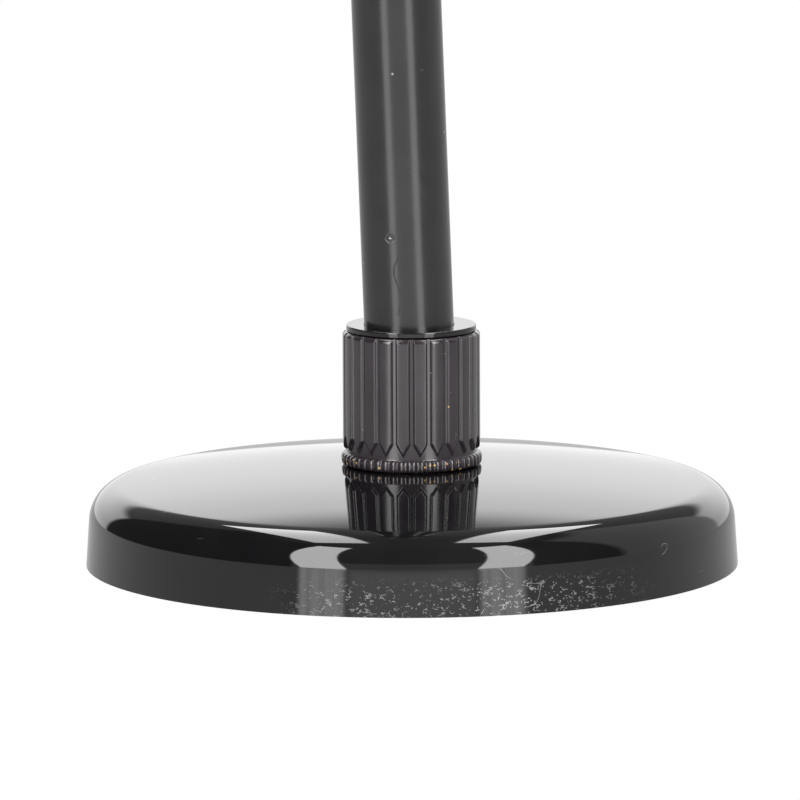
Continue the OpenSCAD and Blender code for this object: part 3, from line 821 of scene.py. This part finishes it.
@dataclass
class Post:
    """Raked lower tube, the ring that wipes it and what it carries at each end."""

    shop: Workshop
    pivot: float = 44.3 * MM
    lean: Colour = (-0.035248, 0.0, 0.999379)
    low: float = 32.96 * MM
    high: float = 189.96 * MM
    radius: float = 11 * MM
    wall: float = 1.5 * MM
    ring_radius: float = 15.9 * MM
    around: int = 160

    def raked(self, profile: Sequence[Corner]) -> np.ndarray:
        """Rings of a turned shape about the tube's own axis."""
        rings = lathe([(radius, along - self.pivot) for radius, along in profile], self.around)
        tilt = Vector((0, 0, 1)).rotation_difference(Vector(self.lean)).to_matrix()
        return rings @ np.array(tilt).T + np.array([0, 0, self.pivot])

    def build(self) -> None:
        """Builds the tube and the ring and dresses the plug, jaws, housing and grip."""
        inner, lip = self.radius - self.wall, 0.25 * MM
        profile = [(inner + lip, self.low), (self.radius - lip, self.low), (self.radius, self.low + lip)]
        profile += span((self.radius, self.low + lip), (self.radius, self.high - lip), 40)
        profile += curve((self.radius - lip, self.high - lip), lip, 0, 90, 5)
        profile += [(inner + lip, self.high), (inner, self.high - lip), (inner, self.low + lip)]
        tube = self.shop.skin("post_tube", self.raked(profile), 50.0)
        self.shop.finish_piece(tube, "post", "lower_tube", Slot.TUBE_GRAPHITE)
        self.build_ring()
        self.shop.dress(
            {"tube_foot_plug": Slot.NATURAL_NYLON, "clutch_housing": Slot.HEAD_BLACK,
             "clutch_grip": Slot.GRIP_PLASTIC, "clutch_collet": Slot.BLACK_NYLON},
            0.15 * MM,
        )

    def build_ring(self) -> None:
        """Builds the flat ring round the tube, whose bore follows the tube's rake."""
        low, high = (Vector(corner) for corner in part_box("wiper_ring"))
        mesh = self.shop.frame["nodes"]["wiper_ring"].data
        spots = np.array([vertex.co[:] for vertex in mesh.vertices])
        shift = self.lean[0] * ((low.z + high.z) / 2 - self.pivot) / self.lean[2]
        bore = float(np.hypot(spots[:, 0] - shift, spots[:, 1]).min())
        outer, lip = high.x, 0.3 * MM
        profile = [(bore, low.z), (outer - lip, low.z)]
        profile += curve((outer - lip, low.z + lip), lip, -90, 0, 4)[1:]
        profile += curve((outer - lip, high.z - lip), lip, 0, 90, 7)
        profile += span((outer - lip, high.z), (bore + lip, high.z), 9)
        profile += curve((bore + lip, high.z - lip), lip, 90, 180, 5)
        rings = lathe(profile, self.around)
        rows = np.array([radius for radius, _ in profile])
        rings[:, :, 0] += (shift * np.clip((outer - rows) / (outer - bore), 0, 1))[:, None]
        ring = self.shop.skin("ring_seal", rings, 50.0)
        self.shop.finish_piece(ring, "base", "wiper_ring", Slot.RING_GLOSS)


@dataclass
class Head:
    """Upper tube, guide, head block and tilt knob."""

    shop: Workshop

    def build(self) -> None:
        """Dresses the mast and the knob."""
        nodes = {"upper_tube": Slot.TUBE_CHROME, "guide_bush": Slot.NATURAL_NYLON, "guide_pin": Slot.ZINC_STEEL}
        nodes |= {"head_block": Slot.HEAD_BLACK, "head_grub_screws": Slot.ZINC_STEEL}
        nodes |= {"friction_washers": Slot.FIBRE, "tilt_knob": Slot.KNOB_PLASTIC}
        nodes["knob_insert"] = Slot.INSERT_BRASS
        self.shop.dress(nodes, 0.2 * MM)


@dataclass
class Desk:
    """Sheet-metal desk with its bracket, page shelf, rivets and page arms."""

    shop: Workshop

    def build(self) -> None:
        """Dresses the desk and keeps it out of the reflections in the base."""
        steel = ("tilt_bolt", "knob_washer", "bracket_rivets", "shelf_rivets", "arm_pivots")
        nodes = {name: Slot.ZINC_STEEL for name in (*steel, "left_arm_washer", "right_arm_washer")}
        nodes |= {name: Slot.DESK_POWDER for name in ("tilt_bracket", "desk_plate", "page_shelf")}
        nodes |= {"shelf_trim": Slot.TRIM_RUBBER}
        nodes |= {f"{side}_page_arm": Slot.ARM_NICKEL for side in ("left", "right")}
        nodes |= {f"{side}_arm_tip": Slot.TIP_RUBBER for side in ("left", "right")}
        for piece in self.shop.dress(nodes, 0.2 * MM):
            piece.visible_glossy = False
            piece.visible_diffuse = False
            piece.visible_shadow = False


@dataclass
class Studio:
    """Camera, floor and the light round the stand."""

    elevation: float = 8.88
    roll: float = 0.22
    distance: float = 3.0
    lens: float = 550.8
    aim: Colour = (-2.82 * MM, 0.0, 41.1 * MM)
    floor_light: float = 0.85
    box_light: float = 12.0
    strip_light: float = 10.0
    mirror_light: float = 3.4
    mirror_sector: Corner = (24.0, 40.0)

    def build(self) -> None:
        """Sets up the camera, the floor and the light."""
        self.camera()
        self.floor()
        self.light()
        bpy.context.scene.view_settings.view_transform = "Standard"

    def camera(self) -> None:
        """Places the camera in front of the stand, a little above it."""
        up = math.radians(self.elevation)
        back = Vector((0, -math.cos(up), math.sin(up)))
        data = bpy.data.cameras.new("front")
        data.sensor_width = 36.0
        data.lens = self.lens
        data.clip_start, data.clip_end = 0.05, 100.0
        holder = bpy.data.objects.new("front", data)
        bpy.context.scene.collection.objects.link(holder)
        turn = (-back).to_track_quat("-Z", "Y").to_matrix().to_4x4() @ Matrix.Rotation(
            math.radians(-self.roll), 4, "Z"
        )
        holder.matrix_world = Matrix.Translation(Vector(self.aim) + back * self.distance) @ turn
        bpy.context.scene.camera = holder

    def floor(self) -> None:
        """Lays a wide pale floor that is as light as what lies behind it."""
        reach = 30.0
        mesh = bpy.data.meshes.new("floor")
        corners = [(-reach, -reach, 0), (reach, -reach, 0), (reach, reach, 0), (-reach, reach, 0)]
        mesh.from_pydata(corners, [], [(0, 1, 2, 3)])
        plane = bpy.data.objects.new("floor", mesh)
        plane.location.z = -0.1 * MM
        bpy.context.scene.collection.objects.link(plane)
        plane.visible_glossy = False
        plane.visible_diffuse = False
        plane.visible_shadow = False
        material = bpy.data.materials.new("floor")
        material.use_nodes = True
        recipe = Recipe(material.node_tree)
        seen = recipe.out(recipe.node("ShaderNodeLightPath"), "Is Camera Ray")
        strength = self.floor_light + (1.0 - self.floor_light) * seen
        glow = recipe.node("ShaderNodeEmission", None, {"Strength": strength})
        recipe.node("ShaderNodeOutputMaterial", None, {"Surface": recipe.out(glow)})
        material.cycles.emission_sampling = "NONE"
        mesh.materials.append(material)

    def light(self) -> None:
        """Lights the stand from two tall boxes, two overhead strips and a pale backdrop."""
        world = bpy.data.worlds.new("studio")
        world.use_nodes = True
        bpy.context.scene.world = world
        recipe = Recipe(world.node_tree)
        way = recipe.out(recipe.node("ShaderNodeTexCoord"), "Generated")
        right, behind, up = recipe.axes(way)
        stretched = recipe.node("ShaderNodeVectorMath", {"operation": "MULTIPLY"}, {0: way, 1: (1.0, 1.0, 0.1)})
        side = abs(right)
        azimuth = side.math("ARCTAN2", side, -behind) * (180 / math.pi)
        height = up.math("ARCSINE", up) * (180 / math.pi)
        on_right = right.rise(-0.01, 0.01)
        level = 0.7 + (height.rise(12, 18) * -0.5)
        flank = 0.08 + on_right * azimuth.rise(78, 84) * (1.0 - height.rise(56, 64)) * 0.85
        level = level + (flank - level) * azimuth.rise(42, 44)
        back = (1.85 + height.rise(3, 16) * 0.55).toward(0.35, height.rise(20.5, 26))
        level = level + (back - level) * azimuth.rise(138, 142)
        level = level.toward(0.25, height.rise(62, 68))
        inner = 23.3 + height * (11.7 / 64)
        outer = 40.0 + height * (15.0 / 61)
        box = azimuth.inside(inner, outer, 0.4) * height.inside(-1.0, 62.5, 0.4)
        level = level.toward(self.box_light, box)
        over = up.math("MAXIMUM", up, 0.05)
        strip = (side / over).inside(0.15, 0.37, 0.006) * (behind / over).inside(-0.08, 1.0, 0.01)
        level = level.toward(self.strip_light, strip * up.rise(0.05, 0.1))
        streaks = recipe.noise(recipe.out(stretched), 24.0, 2.0)
        lower = self.floor_light + (1.0 - azimuth.rise(20, 25)) * 0.8
        lower = lower + azimuth.inside(*self.mirror_sector, 1.5) * self.mirror_light * (0.4 + streaks * 1.2)
        level = lower + (level - lower) * height.rise(-1.6, -0.4)
        seen = recipe.out(recipe.node("ShaderNodeLightPath"), "Is Camera Ray")
        sky = recipe.node("ShaderNodeBackground", None, {"Strength": level.toward(1.0, seen)})
        recipe.node("ShaderNodeOutputWorld", None, {"Surface": recipe.out(sky)})


def main() -> None:
    """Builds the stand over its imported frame."""
    logging.basicConfig(level=logging.INFO, format="%(name)s: %(message)s")
    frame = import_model()
    Studio().build()
    shop = Workshop(frame, PaintShop(), EasedEdges())
    Foot(shop).build()
    Collar(shop).build()
    Post(shop).build()
    Head(shop).build()
    Desk(shop).build()


if __name__ == "__main__":
    main()
